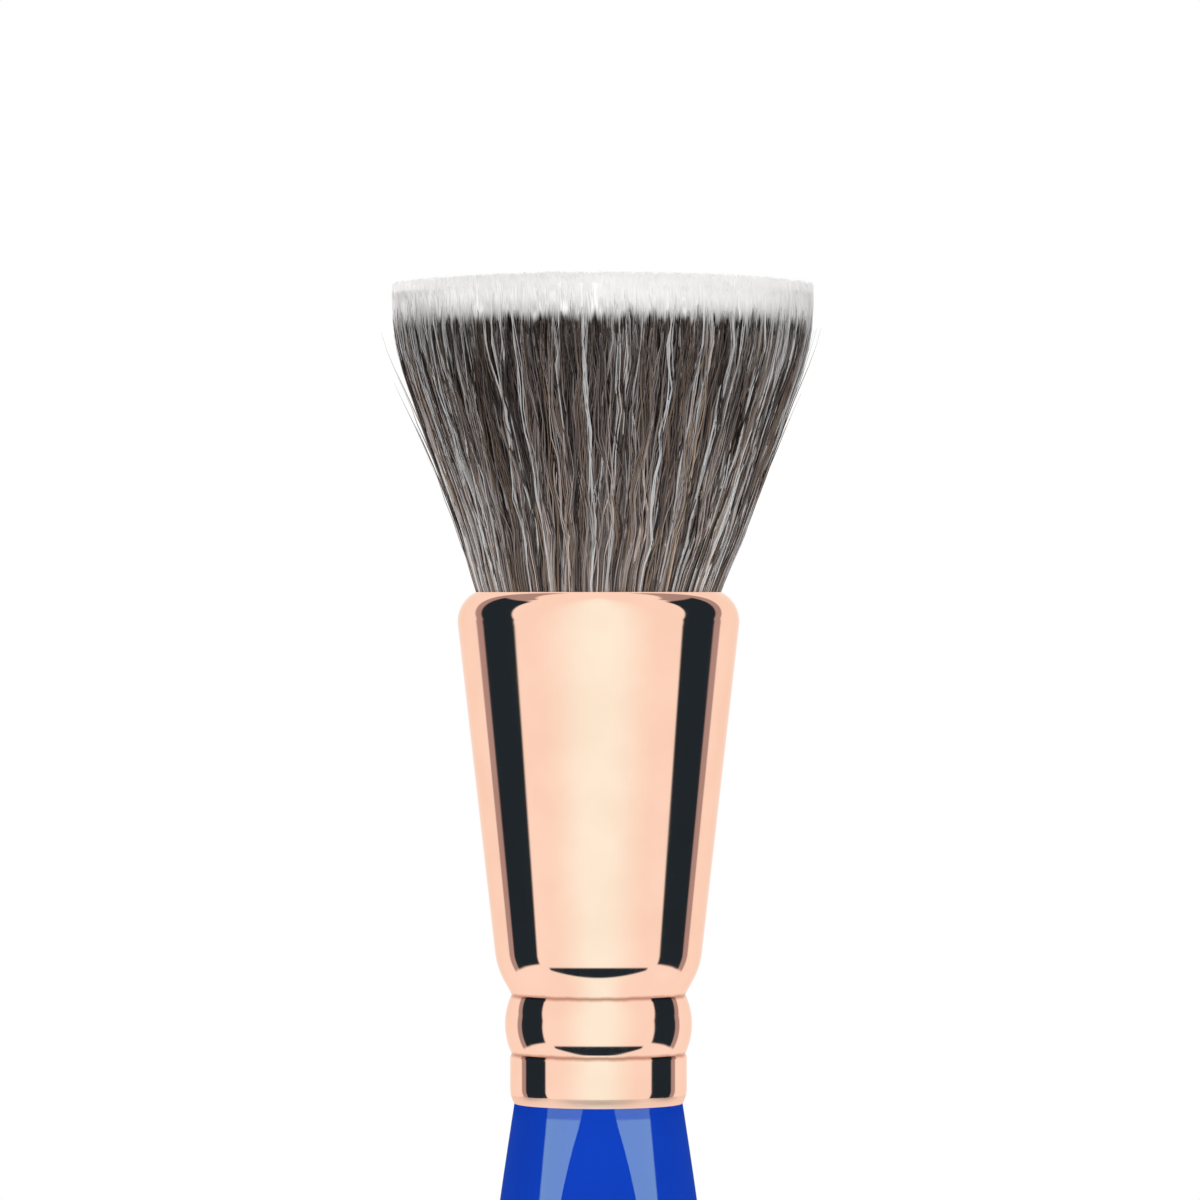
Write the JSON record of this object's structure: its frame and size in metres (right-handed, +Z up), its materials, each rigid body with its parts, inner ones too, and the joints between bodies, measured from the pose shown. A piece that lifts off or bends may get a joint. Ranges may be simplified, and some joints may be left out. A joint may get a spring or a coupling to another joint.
{
  "type": "kabuki makeup brush",
  "caption": "Flat-top makeup brush: a dense, flared head of dark fibres with white tips, held in a crimped, tapered metal ferrule on a lacquered handle with flats.",
  "frame": {"origin": "middle of the flat tail of the handle", "axes": "+Z up the brush from its tail to its tips, -Y out of the front flat of the grip"},
  "size_m": [0.033, 0.033, 0.1698],
  "materials": {
    "ferrule_plate": "polished rose-gold plating",
    "handle_lacquer": "gloss blue lacquer",
    "dark_fibre": "fine synthetic filament, dark brown",
    "tan_fibre": "fine synthetic filament, grey-brown",
    "white_fibre": "fine synthetic filament, white",
    "binding_thread": "waxed thread",
    "potting_resin": "clear cured resin",
    "tenon_adhesive": "cured adhesive"
  },
  "bodies": {
    "root": {"ferrule": "ferrule_plate", "handle": "handle_lacquer", "dark_fibres": "dark_fibre", "tan_fibres": "tan_fibre", "white_fibres": "white_fibre", "root_binding": "binding_thread", "root_resin": "potting_resin", "tenon_glue": "tenon_adhesive"}
  },
  "joints": []
}
